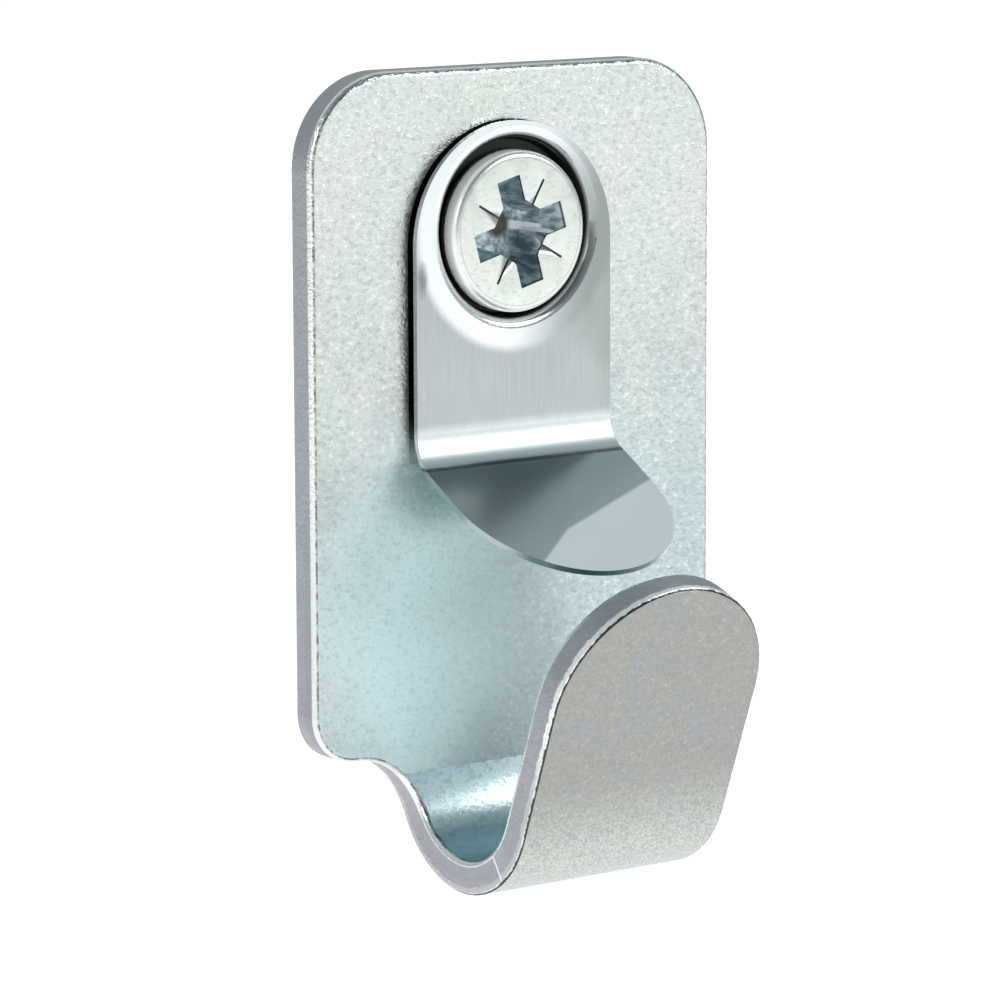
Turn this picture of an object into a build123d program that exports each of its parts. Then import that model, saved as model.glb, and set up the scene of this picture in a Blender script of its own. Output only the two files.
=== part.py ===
from build123d import *
import math
import os

# Sizes are in millimetres and degrees. X runs to the right as the hook hangs on its wall, Y runs
# into the wall and Z runs up. The origin is on the screw's axis, in the plane of the wall.

# Steel strip that the wall plate and the hook are punched and folded from
sheet = 1.75
front_rim_r = 0.32          # rolled rim of the punched edge, on the face that shows
back_rim = 0.12             # broken edge on the other face

# Wall plate
plate_width = 25.0
plate_shift = 0.45          # the plate's middle lies this far to the right of the screw
plate_top = 8.33            # top edge above the screw's axis
plate_bottom = 26.25        # bottom edge below the screw's axis
top_corner_r = 4.75
bottom_corner_r = 2.5
waist_fillet = 3.55         # where the plate narrows into the hook
corner_flat = 0.1           # straight edge left at least between a bottom corner and the waist

# Hook below the plate
hook_width = 12.7
bend_below_plate = 0.95     # axis of the U bend below the plate's bottom edge
bend_inner_r = 3.85
lip_lean = 20.7             # the lip leans away from the wall by this angle
lip_length = 13.55          # straight part of the lip, up to the end of its round tip

# Sprung leaf that closes the hook's mouth
leaf = 0.3
leaf_width = 12.1
leaf_shift = 0.15           # the leaf's middle lies this far to the left of the screw
eye_drop = 0.45             # centre of the eye's round outline below the screw's axis
stand_off = 0.4             # gap between the leaf and the plate
fold_drop = 11.2            # corner of the fold below the screw's axis
fold_inner_r = 1.9
flap_angle = 60.5           # the flap leaves the wall by this angle
flap_length = 10.4          # from the fold's corner to the flap's round end
flap_width = 12.4
flare = 1.5                 # length over which the leaf widens into the flap

# Cup pressed into the leaf's eye, which takes the screw's head
hole_rise = 0.2             # play: the holes lie this far above the screw
cup_mouth_r = 4.72
cup_floor_r = 4.4
cup_depth = 1.1
cup_lip_r = 0.55            # rounding of the cup's mouth, on the face that shows
leaf_hole_r = 3.3
plate_hole_r = 3.4
seat_gap = 0.05             # between the cup's wall and the sunk seat in the plate

# Screw
head_r = 4.1
head_proud = 0.3            # the head stands this far out of the cup
head_edge = 0.35            # rounding of the head's front edge
under_edge = 0.25           # chamfer round the head's underside
neck_r = 2.6
thread_r = 3.15             # outside of the thread
thread_length = 11.0        # behind the wall plane
tip_chamfer = 0.9

# Cross recess in the head
cross_turn = 15.4           # the cross is turned by this angle, as seen from the front
cross_span = 5.6
wing_width = 1.42
cross_core = 3.1            # across the square middle of the cross
cross_depth = 2.2
wing_slope = 26.0           # slope of the wings' ends
wall_draft = 5.0            # slope of the wings' sides
tick_reach = 2.95           # the marks between the wings end this far from the axis
tick_width = 0.14
tick_depth = 0.12

# Places that follow from the sizes above
past = 2.0                  # how far a cut or a mask runs past the metal
bend_y = -sheet - bend_inner_r
bend_z = -plate_bottom - bend_below_plate
bend_outer_r = bend_inner_r + sheet
waist_r = min(waist_fillet, (plate_width - hook_width) / 2 - bottom_corner_r - corner_flat)
eye_back = -sheet - stand_off
eye_front = eye_back - leaf
cup_floor = eye_front + cup_depth
cup_slope = math.atan2(cup_mouth_r - cup_floor_r, cup_depth)
head_face = eye_front - head_proud


def leaning_plane(x, y, z, angle):
    # a plane that leans out from the wall: its own X runs right and its own Y runs along the metal
    a = math.radians(angle)
    return Plane(origin=(x, y, z), x_dir=(1, 0, 0), z_dir=(0, -math.cos(a), math.sin(a)))


lip_plane = leaning_plane(
    plate_shift,
    bend_y - bend_outer_r * math.cos(math.radians(lip_lean)),
    bend_z - bend_outer_r * math.sin(math.radians(lip_lean)),
    -lip_lean,
)
flap_plane = leaning_plane(-leaf_shift, eye_back, -fold_drop, flap_angle)
screw_axis = Plane(origin=(0, 0, 0), x_dir=(1, 0, 0), z_dir=(0, -1, 0))
hole_axis = Plane(origin=(0, 0, hole_rise), x_dir=(1, 0, 0), z_dir=(0, -1, 0))


def strip_profile():
    # side view of the folded strip: plate, U bend and leaning lip
    turn = 180 - lip_lean
    lean = math.radians(lip_lean)
    along = Vector(-math.sin(lean), math.cos(lean)) * lip_length
    inner = CenterArc((bend_y, bend_z), bend_inner_r, 0, -turn)
    outer = CenterArc((bend_y, bend_z), bend_outer_r, 0, -turn)
    outline = [
        Line((0, plate_top), (-sheet, plate_top)),
        Line((-sheet, plate_top), inner @ 0),
        inner,
        Line(inner @ 1, inner @ 1 + along),
        Line(inner @ 1 + along, outer @ 1 + along),
        Line(outer @ 1 + along, outer @ 1),
        outer,
        Line(outer @ 0, (0, plate_top)),
    ]
    return Plane.YZ * make_face(Wire(outline))


def plate_outline():
    # front view of the plate with the hook's strip running down from it
    height = plate_top + plate_bottom
    strip_bottom = bend_z - bend_outer_r - past
    plate = Pos(0, plate_top - height / 2) * Rectangle(plate_width, height)
    strip = Pos(0, strip_bottom / 2) * Rectangle(hook_width, -strip_bottom)
    outline = plate + strip
    level = lambda z: outline.vertices().filter_by(lambda v: abs(v.Y - z) < 0.001)
    outline = fillet(level(-plate_bottom).sort_by(lambda v: abs(v.X))[:2], waist_r)
    outline = fillet(level(-plate_bottom).sort_by(lambda v: abs(v.X))[-2:], bottom_corner_r)
    outline = fillet(level(plate_top), top_corner_r)
    return outline


def lip_outline():
    # the lip laid flat, from below the bend to its full round tip
    round_r = hook_width / 2
    low = -bend_outer_r - past
    high = lip_length - round_r
    return Pos(0, (low + high) / 2) * Rectangle(hook_width, high - low) + Pos(0, high) * Circle(round_r)


def from_bend(face):
    # distance of a face from the bend's axis, or from its level beside the plate and the lip
    spot = face.position_at(0.5, 0.5)
    on_lip = lip_plane.to_local_coords(spot)
    if on_lip.Y > 0 and spot.Y < bend_y:
        return bend_outer_r + on_lip.Z
    if spot.Z > bend_z:
        return spot.Y - bend_y
    return math.hypot(spot.Y - bend_y, spot.Z - bend_z)


def rim_edges(solid, radius):
    # the punched edge of one face of the strip, without the seams where flat turns to bend
    faces = solid.faces().filter_by(lambda f: abs(from_bend(f) - radius) < 0.01)
    edges = [e for f in faces for e in f.outer_wire().edges()]
    places = [tuple(round(c, 3) for c in e.center()) for e in edges]
    return [e for e, p in zip(edges, places) if places.count(p) == 1]


def cup_outside(depth):
    # radius of the cup's outer wall at a depth below the leaf's front face
    return cup_mouth_r - depth * math.tan(cup_slope) + leaf / math.cos(cup_slope)


def hook_plate():
    reach = plate_width / 2 + past
    folded = Pos(plate_shift, 0, 0) * extrude(strip_profile(), amount=reach, both=True)
    rear = extrude(Pos(plate_shift, 0, 0) * Plane.XZ * plate_outline(), amount=-bend_y)
    front = extrude(lip_plane * lip_outline(), amount=bend_outer_r + past, both=True)
    ahead = Pos(0, bend_y, 0) * Box(
        4 * reach, 8 * bend_outer_r, 8 * lip_length, align=(Align.CENTER, Align.MAX, Align.CENTER)
    )
    body = folded & (rear + (front & ahead))
    body = fillet(rim_edges(body, bend_inner_r), front_rim_r)
    body = chamfer(rim_edges(body, bend_outer_r), back_rim)

    # sunk seat for the cup, then the screw's hole
    seat_depth = cup_depth - stand_off
    top_r = cup_outside(leaf + stand_off) + seat_gap
    low_r = cup_outside(leaf + cup_depth) + seat_gap
    rest_on_wall = (Align.CENTER, Align.CENTER, Align.MIN)
    seat = hole_axis.offset(sheet - seat_depth) * Cone(low_r, top_r, seat_depth, align=rest_on_wall)
    hole = hole_axis * Cylinder(plate_hole_r, 2 * sheet + past)
    return body - seat - hole


def leaf_profile():
    # side view of the leaf: strip beside the plate, fold and flap
    lean = math.radians(flap_angle)
    back = FilletPolyline(
        (eye_back, leaf_width),
        (eye_back, -fold_drop),
        (eye_back - flap_length * math.sin(lean), -fold_drop - flap_length * math.cos(lean)),
        radius=fold_inner_r + leaf,
    )
    return Plane.YZ * make_face(offset(back, leaf, side=Side.RIGHT))


def eye_outline():
    # front view of the leaf down to its fold, with the round top of the eye
    low = -fold_drop
    high = -eye_drop
    return Pos(0, (low + high) / 2) * Rectangle(leaf_width, high - low) + Pos(0, high) * Circle(leaf_width / 2)


def flap_outline():
    # the flap laid flat, from behind the fold down to its round end
    half = leaf_width / 2
    wide = flap_width / 2
    high = flap_length - wide
    sides = Polyline((wide, -high), (wide, -flare), (half, 0), (half, past))
    sides += Line((half, past), (-half, past))
    sides += Polyline((-half, past), (-half, 0), (-wide, -flare), (-wide, -high))
    sides += CenterArc((0, -high), wide, 180, 180)
    return make_face(sides)


def cup():
    # the pressed cup with a ring of the level eye round it, turned about the holes' axis
    brim_r = cup_mouth_r + cup_lip_r
    mouth = (cup_mouth_r, eye_front)
    front = Polyline((brim_r, eye_front), mouth, (cup_floor_r, cup_floor), (leaf_hole_r, cup_floor))
    section = make_face(offset(front, leaf, side=Side.RIGHT, kind=Kind.INTERSECTION))
    section = fillet(section.vertices().sort_by_distance(mouth)[0], cup_lip_r)
    return Pos(0, 0, hole_rise) * revolve(section, Axis.Y)


def spring_tongue():
    folded = Pos(-leaf_shift, 0, 0) * extrude(leaf_profile(), amount=flap_width, both=True)
    eye = extrude(Pos(-leaf_shift, 0, 0) * Plane.XZ * eye_outline(), amount=flap_length)
    flap = extrude(flap_plane * flap_outline(), amount=fold_inner_r + past, both=True)
    blank = folded & (eye + flap)
    brim_r = cup_mouth_r + cup_lip_r
    return blank - hole_axis * Cylinder(brim_r, 4 * brim_r) + cup()


def cross_recess():
    # four tapered wings round a square core, with a fine mark between each two wings
    deep = cross_span - 2 * cross_depth * math.tan(math.radians(wing_slope))
    draft = 2 * cross_depth * math.tan(math.radians(wall_draft))
    face = screw_axis.offset(-head_face) * Rot(0, 0, cross_turn)
    floor = screw_axis.offset(-head_face - cross_depth) * Rot(0, 0, cross_turn)
    recess = loft([face * Rot(0, 0, 45) * Rectangle(cross_core, cross_core),
                   floor * Rot(0, 0, 45) * Rectangle(cross_core - draft, cross_core - draft)])
    for turn in (0, 90):
        at = Rot(0, 0, turn)
        recess += loft([face * at * Rectangle(cross_span, wing_width),
                        floor * at * Rectangle(deep, wing_width - draft)])
    for turn in (45, 135, 225, 315):
        mark = Pos(tick_reach / 2, 0, 0) * Box(tick_reach, tick_width, 2 * tick_depth)
        recess += face * Rot(0, 0, turn) * mark
    return recess


def screw():
    # turned blank: flat round head on the cup's floor, neck in the holes, thread behind the wall plane
    outline = FilletPolyline(
        (0, head_face), (head_r, head_face), (head_r, cup_floor), radius=head_edge
    )
    outline += Polyline(
        (head_r, cup_floor), (neck_r, cup_floor), (neck_r, 0), (thread_r, 0),
        (thread_r, thread_length - tip_chamfer), (thread_r - tip_chamfer, thread_length),
        (0, thread_length), (0, head_face),
    )
    blank = revolve(make_face(outline), Axis.Y)
    under = blank.edges().filter_by(GeomType.CIRCLE)
    under = under.filter_by(lambda e: abs(e.center().Y - cup_floor) < 0.001).sort_by(lambda e: e.radius)[-1]
    return chamfer(under, under_edge) - cross_recess()


os.makedirs("parts", exist_ok=True)
for name, solid in (("hook_plate", hook_plate()), ("spring_tongue", spring_tongue()), ("screw", screw())):
    export_step(solid, f"parts/{name}.step")
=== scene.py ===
import bpy
import math
from mathutils import Matrix, Vector


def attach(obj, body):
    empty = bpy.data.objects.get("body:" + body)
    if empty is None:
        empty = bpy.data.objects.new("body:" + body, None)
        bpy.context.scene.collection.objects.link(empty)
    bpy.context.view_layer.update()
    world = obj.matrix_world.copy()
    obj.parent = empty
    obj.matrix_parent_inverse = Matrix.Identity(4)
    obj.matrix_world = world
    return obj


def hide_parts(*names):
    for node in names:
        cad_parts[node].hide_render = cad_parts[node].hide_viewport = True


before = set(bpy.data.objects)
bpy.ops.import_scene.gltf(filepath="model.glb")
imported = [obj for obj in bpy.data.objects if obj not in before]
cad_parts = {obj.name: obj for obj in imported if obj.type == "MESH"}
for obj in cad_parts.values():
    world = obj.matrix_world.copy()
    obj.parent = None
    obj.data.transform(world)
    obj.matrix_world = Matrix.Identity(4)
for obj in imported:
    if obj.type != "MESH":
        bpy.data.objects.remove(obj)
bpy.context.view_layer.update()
print("frame loaded:", sorted(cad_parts))

mm = 0.001


class Wire:
    # one socket of a shader, so that its maths reads as plain Python
    def __init__(self, tree, socket=None):
        self.tree = tree
        self.socket = socket

    def node(self, kind, settings=None, inputs=None, out=0):
        # adds a node: its settings come first, then the values or links of its sockets
        made = self.tree.nodes.new("ShaderNode" + kind)
        for name, value in (settings or {}).items():
            setattr(made, name, value)
        for name, value in (inputs or {}).items():
            if isinstance(value, Wire):
                self.tree.links.new(value.socket, made.inputs[name])
            else:
                made.inputs[name].default_value = value
        return Wire(self.tree, made.outputs[out])

    def maths(self, operation, *values):
        return self.node("Math", {"operation": operation}, dict(enumerate(values)))

    def __add__(self, other):
        return self.maths("ADD", self, other)

    def __radd__(self, other):
        return self.maths("ADD", other, self)

    def __sub__(self, other):
        return self.maths("SUBTRACT", self, other)

    def __rsub__(self, other):
        return self.maths("SUBTRACT", other, self)

    def __mul__(self, other):
        return self.maths("MULTIPLY", self, other)

    def __rmul__(self, other):
        return self.maths("MULTIPLY", other, self)

    def __gt__(self, other):
        return self.maths("GREATER_THAN", self, other)

    def __lt__(self, other):
        return self.maths("LESS_THAN", self, other)

    def rise(self, low, high, bottom=0.0, top=1.0):
        # a soft step from bottom to top as the value goes from low to high
        return self.node("MapRange", {"interpolation_type": "SMOOTHSTEP"}, {
            "Value": self, "From Min": low, "From Max": high, "To Min": bottom, "To Max": top})

    def fall(self, low, high, top=1.0):
        # a soft step down to 0
        return self.rise(low, high, top, 0.0)

    def band(self, low, high, soft):
        # 1 between low and high, with soft ends
        return self.rise(low - soft, low) * self.fall(high, high + soft)

    def unsigned(self):
        # the number without its sign
        return self.maths("ABSOLUTE", self)

    def mix(self, first, second):
        # this wire is the factor between two colours
        return self.node("Mix", {"data_type": "RGBA"}, {0: self, 6: first, 7: second}, out=2)

    def noise(self, scale, detail, rough, warp=0.0):
        # this wire is a place in millimetres, and scale is in lumps per millimetre
        return self.node("TexNoise", None, {
            "Vector": self, "Scale": scale, "Detail": detail, "Roughness": rough, "Distortion": warp})

    def stretch(self, x, y, z):
        return self.node("VectorMath", {"operation": "MULTIPLY"}, {0: self, 1: (x, y, z)})

    def away(self, x, y, z):
        # distance from a point
        return self.node("VectorMath", {"operation": "DISTANCE"}, {0: self, 1: (x, y, z)}, out=1)

    def along(self, x, y, z):
        # length along a direction
        return self.node("VectorMath", {"operation": "DOT_PRODUCT"}, {0: self, 1: (x, y, z)}, out=1)

    def axis(self, index):
        return self.node("SeparateXYZ", None, {0: self}, out=index)


def tone(red, green, blue):
    return (red, green, blue, 1.0)


def newFinish(name):
    # an empty metal, its main shader and the place on the object in millimetres
    material = bpy.data.materials.new(name)
    material.use_nodes = True
    tree = material.node_tree
    metal = tree.nodes["Principled BSDF"]
    start = Wire(tree)
    place = start.node("TexCoord", None, None, out=3)
    place = start.node("VectorMath", {"operation": "SCALE"}, {0: place, "Scale": 1.0 / mm})
    return material, metal, place


def plug(metal, **links):
    # links wires into the main shader; a name's underscore stands for a space
    for name, wire in links.items():
        wire.tree.links.new(wire.socket, metal.inputs[name.replace("_", " ")])


def bump(height, strength, depth):
    # depth is the height in millimetres that a height of 1 stands for
    return height.node("Bump", None, {"Strength": strength, "Distance": depth * mm, "Height": height})


camera = {
    "place": (-0.14256, -0.19677, 0.02554),
    "forward": (0.5808, 0.7980, -0.1608),
    "roll": -0.21,
    "lens": 172.8,
    "sensor": 36.0,
    "near": 0.01,
    "far": 50.0,
}


def placeCamera():
    forward = Vector(camera["forward"]).normalized()
    right = forward.cross(Vector((0, 0, 1))).normalized()
    up = right.cross(forward)
    roll = math.radians(camera["roll"])
    rightRolled = math.cos(roll) * right + math.sin(roll) * up
    upRolled = -math.sin(roll) * right + math.cos(roll) * up
    turn = Matrix((rightRolled, upRolled, -forward)).transposed().to_4x4()
    lens = bpy.data.cameras.new("photoCamera")
    lens.lens = camera["lens"]
    lens.sensor_width = camera["sensor"]
    lens.clip_start = camera["near"]
    lens.clip_end = camera["far"]
    holder = bpy.data.objects.new("photoCamera", lens)
    holder.matrix_world = Matrix.Translation(camera["place"]) @ turn
    bpy.context.scene.collection.objects.link(holder)
    bpy.context.scene.camera = holder


studio = {
    "floorDrop": -0.12,
    "floorRadius": 4.0,
    "floorSides": 96,
    "floorColour": tone(0.7, 0.7, 0.7),
    "floorRough": 0.9,
    "floorGlow": 0.8,
    "lamps": [
        # name, place, size, watts, colour
        ("keyLeft", (-0.75, -0.35, 0.35), 0.45, 1.6, (1.0, 1.0, 1.0)),
        ("frontRight", (0.6, -0.73, 0.45), 0.5, 3.4, (0.93, 1.0, 1.0)),
    ],
    # surroundings: level all round, and overhead from the viewer's side to the wall's side
    "level": tone(0.44, 0.46, 0.47),
    "overheadNear": tone(0.17, 0.235, 0.25),
    "overheadFar": tone(0.6, 0.66, 0.68),
    "nearToFar": (-0.06, 0.16),
    "levelToOverhead": (0.15, 0.6),
}


def lightStudio():
    for name, place, size, watts, colour in studio["lamps"]:
        lamp = bpy.data.lights.new(name, "AREA")
        lamp.shape = "DISK"
        lamp.size = size
        lamp.energy = watts
        lamp.color = colour
        holder = bpy.data.objects.new(name, lamp)
        holder.location = place
        holder.rotation_euler = (-Vector(place)).to_track_quat("-Z", "Y").to_euler()
        bpy.context.scene.collection.objects.link(holder)

    world = bpy.data.worlds.new("softStudio")
    bpy.context.scene.world = world
    world.use_nodes = True
    tree = world.node_tree
    way = Wire(tree).node("TexCoord", None, None, out=0)
    overhead = way.axis(1).rise(*studio["nearToFar"]).mix(studio["overheadNear"], studio["overheadFar"])
    around = way.axis(2).rise(*studio["levelToOverhead"]).mix(studio["level"], overhead)
    tree.links.new(around.socket, tree.nodes["Background"].inputs["Color"])


def layFloor():
    bpy.ops.object.select_all(action="DESELECT")
    bpy.ops.mesh.primitive_circle_add(vertices=studio["floorSides"], radius=studio["floorRadius"],
                                      fill_type="NGON", location=(0, 0, studio["floorDrop"]))
    floor = bpy.context.object
    floor.name = "floor"
    material, surface = newFinish("paleFloor")[:2]
    surface.inputs["Base Color"].default_value = studio["floorColour"]
    surface.inputs["Roughness"].default_value = studio["floorRough"]
    surface.inputs["Emission Color"].default_value = tone(1, 1, 1)
    surface.inputs["Emission Strength"].default_value = studio["floorGlow"]
    floor.data.materials.append(material)


placeCamera()
lightStudio()
layFloor()
bpy.context.scene.view_settings.view_transform = "Standard"
print("camera, lights and floor made")


# folded strip: wall plate, U bend and lip. Places and depths are in millimetres, a noise is
# (scale, detail, roughness, warp), and a share is how much of a tone is laid over what is there
strip = {
    "bendY": -5.6, "bendZ": -27.2,
    "innerRadius": 3.85,
    "sheet": 1.75,
    "lipLean": 20.7,

    # plated face
    "plateTone": tone(0.67, 0.69, 0.66),
    "lowTone": tone(0.55, 0.59, 0.575),
    "lowToPlate": (-13.0, 4.0),
    "wideNoise": (0.16, 2.0, 0.5),
    "otherNoise": (0.23, 2.0, 0.5, 0.6), "otherStretch": 0.7,
    "greenTint": tone(0.66, 0.715, 0.66), "greenRange": (0.42, 0.62),
    "pinkTint": tone(0.71, 0.68, 0.685), "pinkRange": (0.52, 0.66),
    "yellowTint": tone(0.72, 0.715, 0.655), "yellowRange": (0.3, 0.42),
    "tintShare": 0.45,

    # bluer low down; painted shade, teal and dimmer, where the leaf and the lip shelter the plate and
    # at the bottom of the bend's inside
    "blueTint": tone(0.82, 0.99, 1.0),
    "blueMiddle": (-5.0, 0.0, -17.0), "blueHeight": 0.8, "blueReach": (5.0, 12.0), "blueShare": 0.97,
    "blueWander": 3.0, "shelterWander": 5.0, "tealWander": 1.5,
    "bendInside": tone(0.78, 0.87, 0.89),
    "insideTone": tone(0.88, 0.95, 0.98),
    "bendBottomShade": tone(0.32, 0.50, 0.56), "deepReach": (-30.1, -29.1),
    "streakNoise": (1.6, 3.0, 0.6), "streakStretch": 0.12, "streakDepth": 0.8,
    "shelterShadeTint": tone(0.51, 0.58, 0.595),
    "shelterSlope": -0.35, "shelterAcross": (2.0, 13.0), "shelterUp": (-19.0, -4.0),
    "tealShadeTint": tone(0.30, 0.45, 0.46),
    "tealMiddle": (-4.6, 0.0, -12.4), "tealReach": (1.4, 4.2), "tealShare": 0.9,

    # outside of the lip and underside of the bend
    "lipTone": tone(0.37, 0.35, 0.322),
    "lipLilac": tone(0.36, 0.345, 0.35),
    "patchNoise": (0.45, 3.0, 0.6), "patchRange": (0.48, 0.62),
    "bendTone": tone(0.60, 0.595, 0.56), "bendReach": (-31.4, -25.8),
    "pitShare": 0.5, "pitRange": (0.42, 0.62),

    # orange-peel grain, with painted glints on it
    "grainTone": tone(0.26, 0.29, 0.29), "grainRange": (0.5, 0.72), "grainShare": 0.36,
    "glintTone": tone(0.98, 1.0, 0.98), "glintRange": (0.28, 0.44),
    "glintShare": 0.1, "glintOnPlate": 0.28,
    "grainNoise": (4.2, 2.0, 0.6, 0.3), "grainStretch": 0.75,
    "coarseNoise": (1.3, 2.0, 0.5),
    "pitNoise": (7.5, 1.0, 0.5),
    "blueCalm": 0.6, "bendCalm": 0.6,
    "grainDepth": 0.9, "coarseDepth": 0.6, "pitDepth": 0.25,
    "bumpStrength": 0.9, "bumpDepth": 0.05,

    # dark gap beside the leaf: its eye, and its strip down to the fold
    "gapTone": tone(0.03, 0.03, 0.03),
    "gapX": -0.15, "gapZ": -0.45, "gapHalfWidth": 6.1, "gapEnd": -11.4,
    "gapFade": (-11.3, -8.5), "gapFaint": 0.3,

    # sheared edge, with a painted highlight on the rolled rim
    "raggedNoise": (3.0, 3.0, 0.6), "raggedDepth": 0.07,
    "cutTone": tone(0.40, 0.41, 0.43),
    "cutMauve": tone(0.41, 0.40, 0.43), "cutUp": (-26.0, -14.0),
    "cutPale": tone(0.5, 0.51, 0.53), "mottleRange": (0.45, 0.75), "mottleShare": 0.4,
    "mottleNoise": (1.1, 4.0, 0.65),
    "cutStart": (0.26, 0.34), "cutEnd": (1.55, 1.66),
    "rimHighlightTone": tone(0.80, 0.81, 0.79), "rimEnd": (0.27, 0.35),
    "lineTone": tone(0.2, 0.18, 0.16), "lineStart": 0.012, "lineEnd": (0.035, 0.075),
    "nickNoise": (2.2, 2.0, 0.6), "nickRange": (0.4, 0.6), "nickShares": (0.35, 0.95),
    "frontSkin": 0.02, "backSkin": 0.03,

    # painted glint on the burr of the lip's outer rim, and the pale mark across the bend's edge
    "glintAndScratchTone": tone(0.95, 0.96, 0.94),
    "burrGlintNoise": (1.6, 4.0, 0.7), "burrGlintRagged": 0.5, "burrGlintFrom": 1.0, "burrGlintStart": (1.30, 1.42),
    "burrGlintUp": (-27.5, -23.0), "burrGlintFaint": 0.25,
    "burrLine": tone(0.07, 0.065, 0.06),
    "jagNoise": (2.8, 3.0, 0.7), "jagRagged": 0.16, "jagStart": (1.64, 1.68), "jagSkin": 0.012,
    "markY": -8.11, "markZ": -30.11, "markTurn": (0.822, 0.569), "markRagged": 0.12,
    "markWidth": (0.03, 0.08), "markShare": 0.9, "markUp": (-31.6, -29.9, 0.1),

    # roughness, and how much of the metal's mirror the blue plating hides
    "rough": 0.36, "grainRough": 0.15, "blueRough": 0.4, "cutRough": 0.14, "rimRough": -0.12,
    "blueDull": 0.85,
}


def stripPlaces(place):
    # depth below the face that shows, and masks for the strip's parts, faces and edges
    lean = math.radians(strip["lipLean"])
    fromAxis = place.node("VectorMath", {"operation": "SUBTRACT"},
                          {0: place, 1: (0.0, strip["bendY"], strip["bendZ"])})
    acrossPlate = fromAxis.axis(1)
    acrossLip = fromAxis.along(0.0, -math.cos(lean), -math.sin(lean))
    alongLip = fromAxis.along(0.0, -math.sin(lean), math.cos(lean))
    flat = fromAxis.stretch(0.0, 1.0, 1.0)
    acrossBend = flat.node("VectorMath", {"operation": "LENGTH"}, {0: flat}, out=1)
    onPlate = (fromAxis.axis(2) > 0.0) * (acrossPlate > 0.0)
    onLip = (alongLip > 0.0) * (acrossPlate < 0.0)
    onBend = 1.0 - onPlate - onLip
    depth = onPlate * acrossPlate + onLip * acrossLip + onBend * acrossBend - strip["innerRadius"]
    ragged = place.noise(*strip["raggedNoise"]) - 0.5
    raggedDepth = depth + ragged * strip["raggedDepth"]
    return {
        "depth": depth,
        "ragged": ragged,
        "onPlate": onPlate,
        "offPlate": 1.0 - onPlate,
        "onBend": onBend,
        "onLip": onLip,
        "inward": depth < 0.5 * strip["sheet"],
        "front": depth < strip["frontSkin"],
        "back": depth > strip["sheet"] - strip["backSkin"],
        "cut": raggedDepth.rise(*strip["cutStart"]) * raggedDepth.fall(*strip["cutEnd"]),
        "rim": (depth > strip["frontSkin"]) * raggedDepth.fall(*strip["rimEnd"]),
        "line": (depth > strip["lineStart"]) * raggedDepth.fall(*strip["lineEnd"]),
    }


def platedFace(place, wide):
    # pale, with faint green, pink and yellow
    z = place.axis(2)
    other = place.stretch(1.0, 1.0, strip["otherStretch"]).noise(*strip["otherNoise"])
    share = strip["tintShare"]
    face = z.rise(*strip["lowToPlate"]).mix(strip["lowTone"], strip["plateTone"])
    face = (wide.rise(*strip["greenRange"]) * share).mix(face, strip["greenTint"])
    face = (other.rise(*strip["pinkRange"]) * share).mix(face, strip["pinkTint"])
    return (other.fall(*strip["yellowRange"]) * share).mix(face, strip["yellowTint"])


def shelteredFace(place, parts, wide, blue, face):
    # blue low on the plate and in the bend, with painted shade at the bend's bottom and where the
    # leaf's flap and the lip shelter the plate
    x, z = place.axis(0), place.axis(2)
    plateFront = parts["onPlate"] * parts["inward"]
    bendFront = parts["onBend"] * parts["inward"]
    face = blue.mix(face, strip["blueTint"])
    face = bendFront.mix(face, strip["bendInside"])
    streaks = place.stretch(strip["streakStretch"], 1.0, 1.0).noise(*strip["streakNoise"])
    streaks = streaks * strip["streakDepth"]
    # painted shade: dark teal at the bottom of the bend's inside
    face = (bendFront * (z + streaks).fall(*strip["deepReach"])).mix(face, strip["bendBottomShade"])
    # painted shade: dimmer where the plate is sheltered, to the right and low down
    shelterShade = x + z * strip["shelterSlope"] + wide * strip["shelterWander"]
    shelterShade = shelterShade.rise(*strip["shelterAcross"]) * z.fall(*strip["shelterUp"])
    face = (shelterShade * plateFront).mix(face, strip["shelterShadeTint"])
    # painted shade: a teal patch where the leaf's flap shelters the plate
    fromTeal = place.stretch(1.0, 0.0, 1.0).away(*strip["tealMiddle"])
    fromTeal = fromTeal + wide * strip["tealWander"]
    tealShade = fromTeal.fall(*strip["tealReach"], strip["tealShare"]) * plateFront
    face = tealShade.mix(face, strip["tealShadeTint"])
    return (parts["onLip"] * parts["inward"]).mix(face, strip["insideTone"])


def lipOutside(place, parts, face):
    # warm, with lilac patches
    patches = place.noise(*strip["patchNoise"]).rise(*strip["patchRange"])
    outside = patches.mix(strip["lipTone"], strip["lipLilac"])
    outside = place.axis(2).fall(*strip["bendReach"]).mix(outside, strip["bendTone"])
    return (parts["back"] * parts["offPlate"]).mix(face, outside)


def gapPaint(place, parts, face):
    # unlit metal in the gap under the leaf
    z = place.axis(2)
    middle, top, wide = strip["gapX"], strip["gapZ"], strip["gapHalfWidth"]
    beside = (place.stretch(1.0, 0.0, 0.0).away(middle, 0.0, 0.0) < wide) * (z < top)
    around = (place.stretch(1.0, 0.0, 1.0).away(middle, 0.0, top) < wide) * (z > top)
    under = beside * (z > strip["gapEnd"]) + around
    under = under * z.rise(*strip["gapFade"], strip["gapFaint"], 1.0)
    return (under * parts["onPlate"] * parts["front"]).mix(face, strip["gapTone"])


def cutEdge(place, parts, face):
    # sheared edge, the rolled rim painted bright as a painted highlight, and the dark line beside it
    cut = place.axis(2).fall(*strip["cutUp"]).mix(strip["cutTone"], strip["cutMauve"])
    mottle = place.noise(*strip["mottleNoise"]).rise(*strip["mottleRange"])
    cut = (mottle * strip["mottleShare"]).mix(cut, strip["cutPale"])
    face = parts["cut"].mix(face, cut)
    # painted highlight on the rolled rim
    face = parts["rim"].mix(face, strip["rimHighlightTone"])
    nicks = place.noise(*strip["nickNoise"]).rise(*strip["nickRange"], *strip["nickShares"])
    return (parts["line"] * nicks).mix(face, strip["lineTone"])


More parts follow.
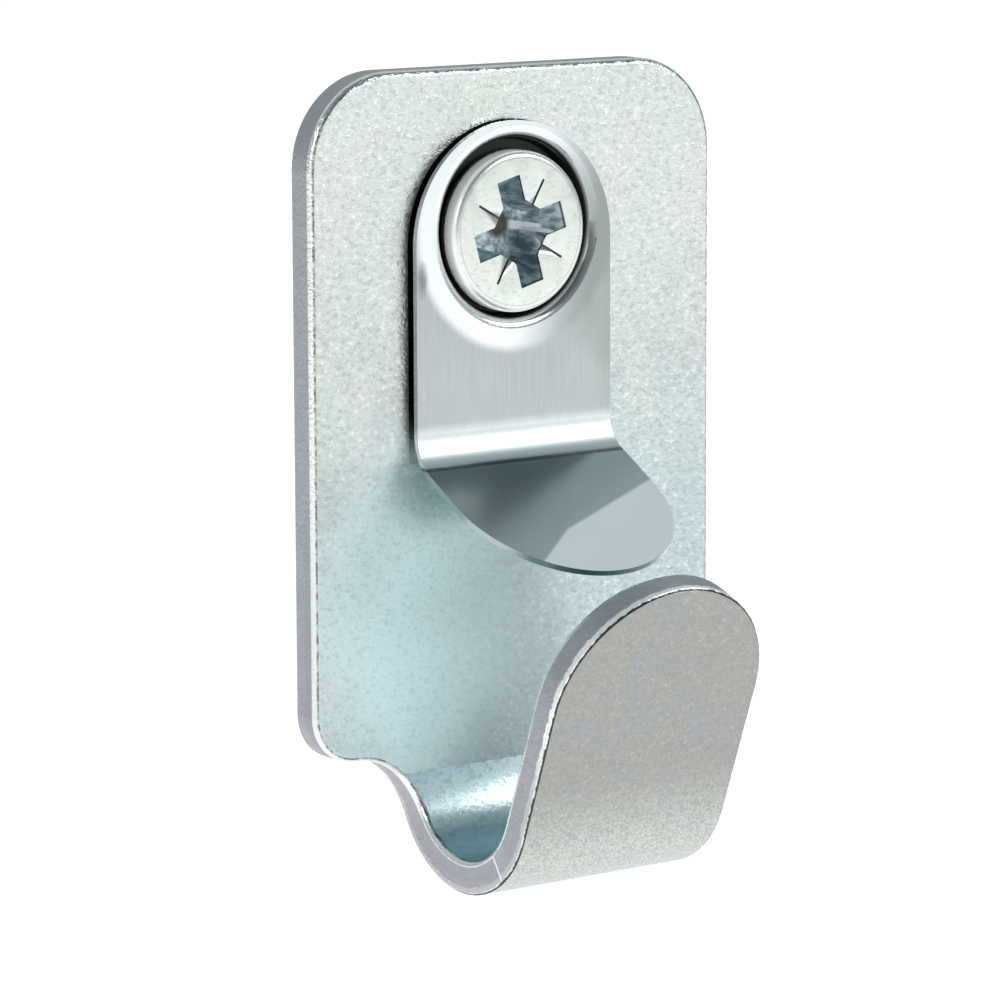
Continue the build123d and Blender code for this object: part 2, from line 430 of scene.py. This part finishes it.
def rimGlintAndMarks(place, parts, face):
    # a bright ragged band on the burr of the lip's outer rim, which is a painted glint, with a jagged
    # dark line beside the face
    x, y, z = place.axis(0), place.axis(1), place.axis(2)
    depth, offPlate = parts["depth"], parts["offPlate"]
    burrGlintEdge = depth + (place.noise(*strip["burrGlintNoise"]) - 0.5) * strip["burrGlintRagged"]
    # painted glint: a bright band along the burr of the lip's rim
    burrGlint = offPlate * (depth > strip["burrGlintFrom"]) * (1.0 - parts["back"])
    burrGlint = burrGlint * burrGlintEdge.rise(*strip["burrGlintStart"]) * z.rise(*strip["burrGlintUp"], strip["burrGlintFaint"], 1.0)
    face = burrGlint.mix(face, strip["glintAndScratchTone"])

    # pale mark across the bend's left edge
    turnY, turnZ = strip["markTurn"]
    mark = (y - strip["markY"]) * turnY - (z - strip["markZ"]) * turnZ
    mark = (mark + parts["ragged"] * strip["markRagged"]).unsigned()
    mark = mark.fall(*strip["markWidth"], strip["markShare"])
    mark = mark * z.band(*strip["markUp"]) * (x < 0.0) * parts["cut"]
    face = mark.mix(face, strip["glintAndScratchTone"])

    jagEdge = depth + (place.noise(*strip["jagNoise"]) - 0.5) * strip["jagRagged"]
    jag = offPlate * jagEdge.rise(*strip["jagStart"])
    jag = jag * (1.0 - (depth > strip["sheet"] - strip["jagSkin"]))
    return jag.mix(face, strip["burrLine"])


def zincStrip():
    material, metal, place = newFinish("zincPlatedStrip")
    parts = stripPlaces(place)
    wide = place.noise(*strip["wideNoise"])
    fromBlue = place.stretch(1.0, 0.0, strip["blueHeight"]).away(*strip["blueMiddle"])
    fromBlue = fromBlue + wide * strip["blueWander"]
    blue = fromBlue.fall(*strip["blueReach"], strip["blueShare"]) * parts["onPlate"] * parts["inward"]
    face = platedFace(place, wide)
    face = shelteredFace(place, parts, wide, blue, face)
    face = lipOutside(place, parts, face)

    # fine orange-peel grain of the plating, with painted glints on it
    grain = place.stretch(strip["grainStretch"], 1.0, 1.0).noise(*strip["grainNoise"])
    coarse = place.noise(*strip["coarseNoise"])
    pits = place.noise(*strip["pitNoise"])
    calm = 1.0 - blue * strip["blueCalm"]
    dark = grain.rise(*strip["grainRange"]) * calm * strip["grainShare"]
    face = dark.mix(face, strip["grainTone"])
    # painted glints: near-white specks where the grain is low
    glint = parts["onPlate"] * strip["glintOnPlate"] + strip["glintShare"]
    face = (grain.fall(*strip["glintRange"]) * glint * calm).mix(face, strip["glintTone"])
    face = gapPaint(place, parts, face)
    pitted = pits.rise(*strip["pitRange"]) * parts["offPlate"] * parts["back"] * strip["pitShare"]
    face = pitted.mix(face, strip["grainTone"])
    face = cutEdge(place, parts, face)
    face = rimGlintAndMarks(place, parts, face)

    height = grain * strip["grainDepth"] + coarse * strip["coarseDepth"] + pits * strip["pitDepth"]
    height = height * (1.0 - parts["onBend"] * parts["inward"] * strip["bendCalm"])
    rough = strip["rough"] + (grain - 0.5) * strip["grainRough"] + blue * strip["blueRough"]
    rough = rough + parts["cut"] * strip["cutRough"] + parts["rim"] * strip["rimRough"]
    shine = 1.0 - blue * strip["blueDull"]
    plug(metal, Base_Color=face, Roughness=rough, Metallic=shine,
         Normal=bump(height, strip["bumpStrength"], strip["bumpDepth"]))
    return material


# sprung leaf: brushed strip, pressed eye with its cup, fold and flap
leaf = {
    "tone": tone(0.405, 0.43, 0.425),
    "brushTone": tone(0.375, 0.40, 0.395),
    "brushNoise": (1.0, 3.0, 0.6), "brushStretch": (9.0, 9.0, 0.35), "brushRange": (0.3, 0.7),
    "cloudTone": tone(0.45, 0.47, 0.46),
    "cloudNoise": (0.25, 2.0, 0.5), "cloudStretch": 0.6,
    "cloudRange": (0.45, 0.7), "cloudShare": 0.6,
    # painted shade towards the strip's upper right
    "sideSlope": 0.5, "sideShade": (0.0, 3.2), "sideShare": 0.8,

    # eye and cup; the cup with painted shade and a pale painted reflection line near its top
    "mouthX": 0.0, "mouthZ": 0.2, "mouthRadius": 4.8,
    # painted reflection on the pressed disc, with painted shade on its right
    "discReflectionTone": tone(0.77, 0.80, 0.80),
    "discShade": tone(0.29, 0.32, 0.31),
    "discEdge": (5.8, 6.5), "discSlope": -0.25, "discAcross": (0.0, 5.5),
    # painted shade inside the cup, and a pale painted reflection line near its top
    "cupShadeTone": tone(0.035, 0.038, 0.03), "cupStart": (-2.25, -2.05),
    "cupReflectionLine": tone(0.42, 0.48, 0.38), "cupLineDepth": (-1.95, -1.85, 0.06),
    "cupLineUp": (3.0, 4.2), "cupLineShare": 0.7,

    # fold and flap, with a painted highlight on the fold, a painted dark reflection on the crease and
    # the flap's two tones as painted reflection: the dark side of the flap lies above two lines, each a
    # slope and a level of Y
    "foldHighlightTone": tone(0.88, 0.90, 0.90), "foldStart": (-11.5, -11.3), "foldEnd": (-10.3, -9.3),
    "creaseReflectionTone": tone(0.12, 0.14, 0.13), "crease": (-11.56, -11.47, 0.04),
    "creaseY": -2.4, "creaseShare": 0.85,
    "flapLightReflection": tone(0.82, 0.85, 0.86), "flapY": (-2.75, -2.55), "flapZ": (-11.55, -11.45),
    "flapDarkReflection": tone(0.385, 0.44, 0.455),
    "darkLines": ((0.3645, 7.836), (0.654, 7.49)), "darkSoft": (-0.12, 0.12),
    # painted shade along the flap's lower edge
    "flapEdgeShade": tone(0.10, 0.15, 0.16),
    "tip": (-0.15, -5.81, -13.27), "tipRadius": 6.19,
    "edgeLeft": (-5.6, -4.4), "edgeRight": (1.5, 5.0), "edgeY": -6.0,

    # painted dark reflection on the strip's left side
    "leftSideReflection": tone(0.2, 0.2, 0.21),
    "leftSideReflectionMiddle": (-5.85, 0.0, -0.92), "leftSideReflectionHeight": 0.45, "leftSideReflectionReach": (0.3, 0.75),
    "leftSideReflectionNoise": (1.6, 3.0, 0.6), "leftSideReflectionWander": 0.5, "leftSideReflectionShare": 0.85,

    "rough": 0.17, "brushRough": 0.1, "cupRough": 0.3, "foldRough": 0.2, "flapRough": 0.05,
    "bumpStrength": 0.35, "bumpDepth": 0.006,
}


def eyeAndStrip(place, brushed, fromMouth):
    # brushed strip with soft clouds and painted shade towards its upper right, and the pressed disc
    # round the cup painted brighter as a painted reflection, with painted shade on its right
    x, z = place.axis(0), place.axis(2)
    cloud = place.stretch(1.0, 1.0, leaf["cloudStretch"]).noise(*leaf["cloudNoise"])
    face = brushed.rise(*leaf["brushRange"]).mix(leaf["tone"], leaf["brushTone"])
    # painted shade towards the strip's upper right
    side = (x + z * leaf["sideSlope"]).rise(*leaf["sideShade"]) * leaf["sideShare"]
    face = side.mix(face, leaf["discShade"])
    face = (cloud.rise(*leaf["cloudRange"]) * leaf["cloudShare"]).mix(face, leaf["cloudTone"])
    # painted reflection: the pressed disc is brighter, with painted shade on its right
    disc = (x + z * leaf["discSlope"]).rise(*leaf["discAcross"])
    disc = disc.mix(leaf["discReflectionTone"], leaf["discShade"])
    return fromMouth.fall(*leaf["discEdge"]).mix(face, disc)


def foldAndFlap(place, fold, onFlap, face):
    x, y, z = place.axis(0), place.axis(1), place.axis(2)
    # painted highlight on the fold, and the flap's two tones as painted reflection
    face = fold.mix(face, leaf["foldHighlightTone"])
    face = onFlap.mix(face, leaf["flapLightReflection"])
    upper, lower = [y - x * slope + level for slope, level in leaf["darkLines"]]
    dark = upper.maths("MAXIMUM", upper, lower).rise(*leaf["darkSoft"])
    face = (onFlap * dark).mix(face, leaf["flapDarkReflection"])
    # painted reflection: a dark line along the crease
    crease = z.band(*leaf["crease"]) * (y < leaf["creaseY"]) * leaf["creaseShare"]
    face = crease.mix(face, leaf["creaseReflectionTone"])

    # painted shade along the cut edge round the flap's lower end
    edge = (place.away(*leaf["tip"]) > leaf["tipRadius"]) * (y < leaf["edgeY"])
    edge = edge * x.rise(*leaf["edgeLeft"]) * x.fall(*leaf["edgeRight"])
    return edge.mix(face, leaf["flapEdgeShade"])


def brightLeaf():
    material, metal, place = newFinish("brightSpringLeaf")
    y, z = place.axis(1), place.axis(2)
    fromMouth = place.stretch(1.0, 0.0, 1.0).away(leaf["mouthX"], 0.0, leaf["mouthZ"])
    inMouth = fromMouth < leaf["mouthRadius"]
    brushed = place.stretch(*leaf["brushStretch"]).noise(*leaf["brushNoise"])
    fold = z.rise(*leaf["foldStart"]) * z.fall(*leaf["foldEnd"])
    onFlap = y.fall(*leaf["flapY"]) * z.fall(*leaf["flapZ"])
    face = eyeAndStrip(place, brushed, fromMouth)
    face = foldAndFlap(place, fold, onFlap, face)

    # painted dark reflection on the strip's left side
    leftSideReflection = place.stretch(1.0, 0.0, leaf["leftSideReflectionHeight"]).away(*leaf["leftSideReflectionMiddle"])
    leftSideReflection = place.noise(*leaf["leftSideReflectionNoise"]) * leaf["leftSideReflectionWander"] + leftSideReflection
    face = leftSideReflection.fall(*leaf["leftSideReflectionReach"], leaf["leftSideReflectionShare"]).mix(face, leaf["leftSideReflection"])
    # painted shade: the cup inside the mouth is near black
    shadedCup = inMouth * y.rise(*leaf["cupStart"])
    face = shadedCup.mix(face, leaf["cupShadeTone"])
    # painted reflection: a pale line near the top of the cup
    topReflectionLine = inMouth * y.band(*leaf["cupLineDepth"]) * z.rise(*leaf["cupLineUp"])
    face = (topReflectionLine * leaf["cupLineShare"]).mix(face, leaf["cupReflectionLine"])

    rough = leaf["rough"] + (brushed - 0.5) * leaf["brushRough"] + shadedCup * leaf["cupRough"]
    rough = rough + fold * leaf["foldRough"] + onFlap * leaf["flapRough"]
    plug(metal, Base_Color=face, Roughness=rough,
         Normal=bump(brushed * (1.0 - onFlap), leaf["bumpStrength"], leaf["bumpDepth"]))
    metal.inputs["Metallic"].default_value = 1.0
    return material


# screw: lengths in millimetres, with levels of Y counted into the wall
screw = {
    "tone": tone(0.74, 0.755, 0.71),
    "otherTone": tone(0.70, 0.735, 0.69),
    "wideNoise": (0.5, 2.0, 0.5), "wideRange": (0.4, 0.65),
    "specks": tone(0.5, 0.5, 0.46),
    "speckNoise": (2.8, 3.0, 0.6), "speckStretch": 2.2, "speckRange": (0.52, 0.7), "speckShare": 0.5,
    "turnedRadius": 3.74, "turnedWidth": (0.015, 0.05), "turnedShare": 0.7,
    "faceY": -2.75, "faceSkin": 0.03, "headEnd": -0.3,

    # recess, with painted shade and a painted reflection
    "recessRadius": 3.2, "recessStart": (0.03, 0.12),
    "recessShadeTone": tone(0.26, 0.32, 0.35),
    "recessPale": tone(0.66, 0.76, 0.79),
    "streakNoise": (3.0, 2.0, 0.6), "streakStretch": 0.3, "streakRange": (0.35, 0.65),
    "recessLight": tone(1.0, 1.0, 1.0),
    "lightSlope": 0.16, "lightUp": (0.12, 0.48, 0.05), "lightAcross": (0.8, 2.2, 0.06),
    "recessBrownShade": tone(0.09, 0.07, 0.06),
    "brownMiddle": (0.15, -0.7, 0.25), "brownReach": (0.5, 0.95), "brownShare": 0.95,
    "lineTone": tone(0.05, 0.05, 0.05), "lineDepth": (0.02, 0.12, 0.015), "lineShare": 0.8,

    # side of the head, painted pale as painted light
    "sidePaintedLight": tone(0.95, 0.95, 0.93), "sideRadius": 3.95, "sideDepth": (-2.6, -1.9, 0.1),

    "grainNoise": (3.5, 4.0, 0.65),
    "rough": 0.3, "grainRough": 0.16, "recessRough": 0.2,
    "lightDull": 0.95, "sideDull": 0.8,
    "bumpStrength": 0.45, "bumpDepth": 0.02,

    # thread: flanks are shares of the pitch, and the blank gives its run-in, run-out and tip
    "pitch": 2.4,
    "rootRadius": 2.35,
    "crestRadius": 3.15,
    "neckRadius": 2.6,
    "length": 11.0,
    "flanks": (0.42, 0.66, 0.74),
    "turns": 9, "turnsInFront": 3, "stepsPerTurn": 40,
    "sweepStart": -0.8, "sweepEnd": 12.5,
    "blankStart": -0.5, "blankPlay": 0.02, "blankSides": 64,
    "runIn": 0.7, "runOut": 9.4, "tipShare": 0.62,
    "shankCut": -0.01,
    "smoothAngle": 18,
}


def recessFinish(place):
    # streaked metal, painted dark as painted shade and darkest, brown, at its bottom, with a bright
    # strip along one wing as a painted reflection
    x, z = place.axis(0), place.axis(2)
    streak = place.stretch(1.0, screw["streakStretch"], 1.0).noise(*screw["streakNoise"])
    # painted shade: the recess is dark, with paler streaks
    deep = streak.rise(*screw["streakRange"]).mix(screw["recessShadeTone"], screw["recessPale"])
    light = (z + x * screw["lightSlope"]).band(*screw["lightUp"]) * x.band(*screw["lightAcross"])
    # painted reflection: a bright strip along one wing
    deep = light.mix(deep, screw["recessLight"])
    # painted shade: a dark brown spot at the recess's bottom
    brown = place.away(*screw["brownMiddle"]).fall(*screw["brownReach"], screw["brownShare"])
    return brown.mix(deep, screw["recessBrownShade"]), light


def zincScrew():
    material, metal, place = newFinish("zincPlatedScrew")
    y = place.axis(1)
    grain = place.noise(*screw["grainNoise"])
    wide = place.noise(*screw["wideNoise"])
    fromAxis = place.stretch(1.0, 0.0, 1.0).away(0.0, 0.0, 0.0)
    onHead = y < screw["headEnd"]
    onFace = onHead * (y < screw["faceY"] + screw["faceSkin"])
    face = wide.rise(*screw["wideRange"]).mix(screw["tone"], screw["otherTone"])
    specks = place.stretch(1.0, 1.0, screw["speckStretch"]).noise(*screw["speckNoise"])
    face = (specks.rise(*screw["speckRange"]) * screw["speckShare"]).mix(face, screw["specks"])
    turned = (fromAxis - screw["turnedRadius"]).unsigned()
    turned = turned.fall(*screw["turnedWidth"], screw["turnedShare"]) * onFace
    face = turned.mix(face, screw["specks"])

    # recess with its dark outline
    near = (fromAxis < screw["recessRadius"]) * onHead
    start, full = screw["recessStart"]
    inRecess = y.rise(screw["faceY"] + start, screw["faceY"] + full) * near
    deep, light = recessFinish(place)
    face = inRecess.mix(face, deep)
    start, full, soft = screw["lineDepth"]
    outline = y.band(screw["faceY"] + start, screw["faceY"] + full, soft) * near
    face = (outline * screw["lineShare"]).mix(face, screw["lineTone"])

    side = (fromAxis > screw["sideRadius"]) * y.band(*screw["sideDepth"])
    # painted light: the side of the head is pale
    face = side.mix(face, screw["sidePaintedLight"])
    rough = screw["rough"] + (grain - 0.5) * screw["grainRough"] + inRecess * screw["recessRough"]
    shine = 1.0 - light * inRecess * screw["lightDull"] - side * screw["sideDull"]
    plug(metal, Base_Color=face, Roughness=rough, Metallic=shine,
         Normal=bump(grain, screw["bumpStrength"], screw["bumpDepth"]))
    return material


def selectOnly(piece):
    bpy.ops.object.select_all(action="DESELECT")
    piece.select_set(True)
    bpy.context.view_layer.objects.active = piece


def keepBehind(edge, keepBack):
    # cuts the mesh in edit mode at a level of Y and closes the cut
    bpy.ops.mesh.select_all(action="SELECT")
    bpy.ops.mesh.bisect(plane_co=(0, edge * mm, 0), plane_no=(0, 1, 0), use_fill=True,
                        clear_inner=keepBack, clear_outer=not keepBack)


def pointOutwards():
    bpy.ops.mesh.select_all(action="SELECT")
    bpy.ops.mesh.normals_make_consistent(inside=False)


def cutHead():
    # head and neck of the frame's screw, cut off just in front of the wall plane
    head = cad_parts["screw"].copy()
    head.data = head.data.copy()
    head.parent = None
    for key in list(head.keys()):
        del head[key]
    head.name = "threaded_screw"
    bpy.context.scene.collection.objects.link(head)
    selectOnly(head)
    bpy.ops.object.mode_set(mode="EDIT")
    bpy.ops.mesh.select_all(action="SELECT")
    bpy.ops.mesh.remove_doubles(threshold=0.01 * mm)
    keepBehind(screw["shankCut"], False)
    bpy.ops.object.mode_set(mode="OBJECT")
    return head


def sweepThread():
    # one turn's section, swept along the screw's axis
    pitch, root, crest = screw["pitch"], screw["rootRadius"], screw["crestRadius"]
    foot, shoulder, ridge = screw["flanks"]
    section = [(root, 0.0), (root, foot * pitch), (crest, shoulder * pitch), (crest, ridge * pitch),
               (root, pitch)]
    start = screw["turnsInFront"] * pitch
    points = [(radius * mm, (level - start) * mm, 0.0) for radius, level in section]
    sheet = bpy.data.meshes.new("thread")
    sheet.from_pydata(points, [(i, i + 1) for i in range(len(points) - 1)], [])
    thread = bpy.data.objects.new("thread", sheet)
    bpy.context.scene.collection.objects.link(thread)
    selectOnly(thread)
    sweep = thread.modifiers.new("turns", "SCREW")
    sweep.axis = "Y"
    sweep.screw_offset = pitch * mm
    sweep.iterations = screw["turns"]
    sweep.steps = sweep.render_steps = screw["stepsPerTurn"]
    sweep.use_merge_vertices = True
    sweep.merge_threshold = 0.005 * mm
    sweep.use_smooth_shade = False
    bpy.ops.object.modifier_apply(modifier=sweep.name)
    bpy.ops.object.mode_set(mode="EDIT")
    bpy.ops.mesh.select_all(action="SELECT")
    bpy.ops.mesh.remove_doubles(threshold=0.005 * mm)
    keepBehind(screw["sweepStart"], True)
    keepBehind(screw["sweepEnd"], False)
    pointOutwards()
    bpy.ops.object.mode_set(mode="OBJECT")
    return thread


def turnBlank():
    # blank that the turns are cut from: it widens from the neck and narrows to the tip
    crest = screw["crestRadius"]
    level, wide = screw["blankStart"], screw["neckRadius"] - screw["blankPlay"]
    steps = [(0.0, screw["neckRadius"]), (screw["runIn"], crest), (screw["runOut"], crest),
             (screw["length"], screw["tipShare"] * crest)]
    bpy.ops.object.select_all(action="DESELECT")
    bpy.ops.mesh.primitive_circle_add(vertices=screw["blankSides"], radius=wide * mm,
                                      fill_type="NGON", location=(0, level * mm, 0),
                                      rotation=(math.radians(90), 0, 0))
    blank = bpy.context.object
    blank.name = "blank"
    bpy.ops.object.transform_apply(location=True, rotation=True, scale=True)
    bpy.ops.object.mode_set(mode="EDIT")
    for nextLevel, nextWide in steps:
        push = (0, (nextLevel - level) * mm, 0)
        bpy.ops.mesh.extrude_region_move(TRANSFORM_OT_translate={"value": push})
        bpy.ops.transform.resize(value=(nextWide / wide, 1.0, nextWide / wide),
                                 center_override=(0, 0, 0))
        level, wide = nextLevel, nextWide
    pointOutwards()
    bpy.ops.object.mode_set(mode="OBJECT")
    return blank


def join(target, tool, operation):
    selectOnly(target)
    joining = target.modifiers.new("joining", "BOOLEAN")
    joining.operation = operation
    joining.object = tool
    joining.solver = "EXACT"
    bpy.ops.object.modifier_apply(modifier=joining.name)
    bpy.data.objects.remove(tool)


def threadedScrew(material):
    # head and neck from the frame, with the thread's turns modelled behind the wall plane
    head = cutHead()
    thread = sweepThread()
    join(thread, turnBlank(), "INTERSECT")
    join(head, thread, "UNION")
    head.data.materials.clear()
    head.data.materials.append(material)
    for face in head.data.polygons:
        face.material_index = 0
    selectOnly(head)
    bpy.ops.object.shade_smooth_by_angle(angle=math.radians(screw["smoothAngle"]))
    weigh = head.modifiers.new("flatFaces", "WEIGHTED_NORMAL")
    weigh.keep_sharp = True
    bpy.ops.object.modifier_apply(modifier=weigh.name)
    print("screw:", len(head.data.polygons), "faces")
    return head


def dress(node, material):
    # gives a frame node its finish
    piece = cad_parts[node]
    piece.data.materials.clear()
    piece.data.materials.append(material)


dress("hook_plate", zincStrip())
dress("spring_tongue", brightLeaf())
print("strip and leaf finished")

screwPiece = threadedScrew(zincScrew())
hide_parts("screw")
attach(screwPiece, "root")
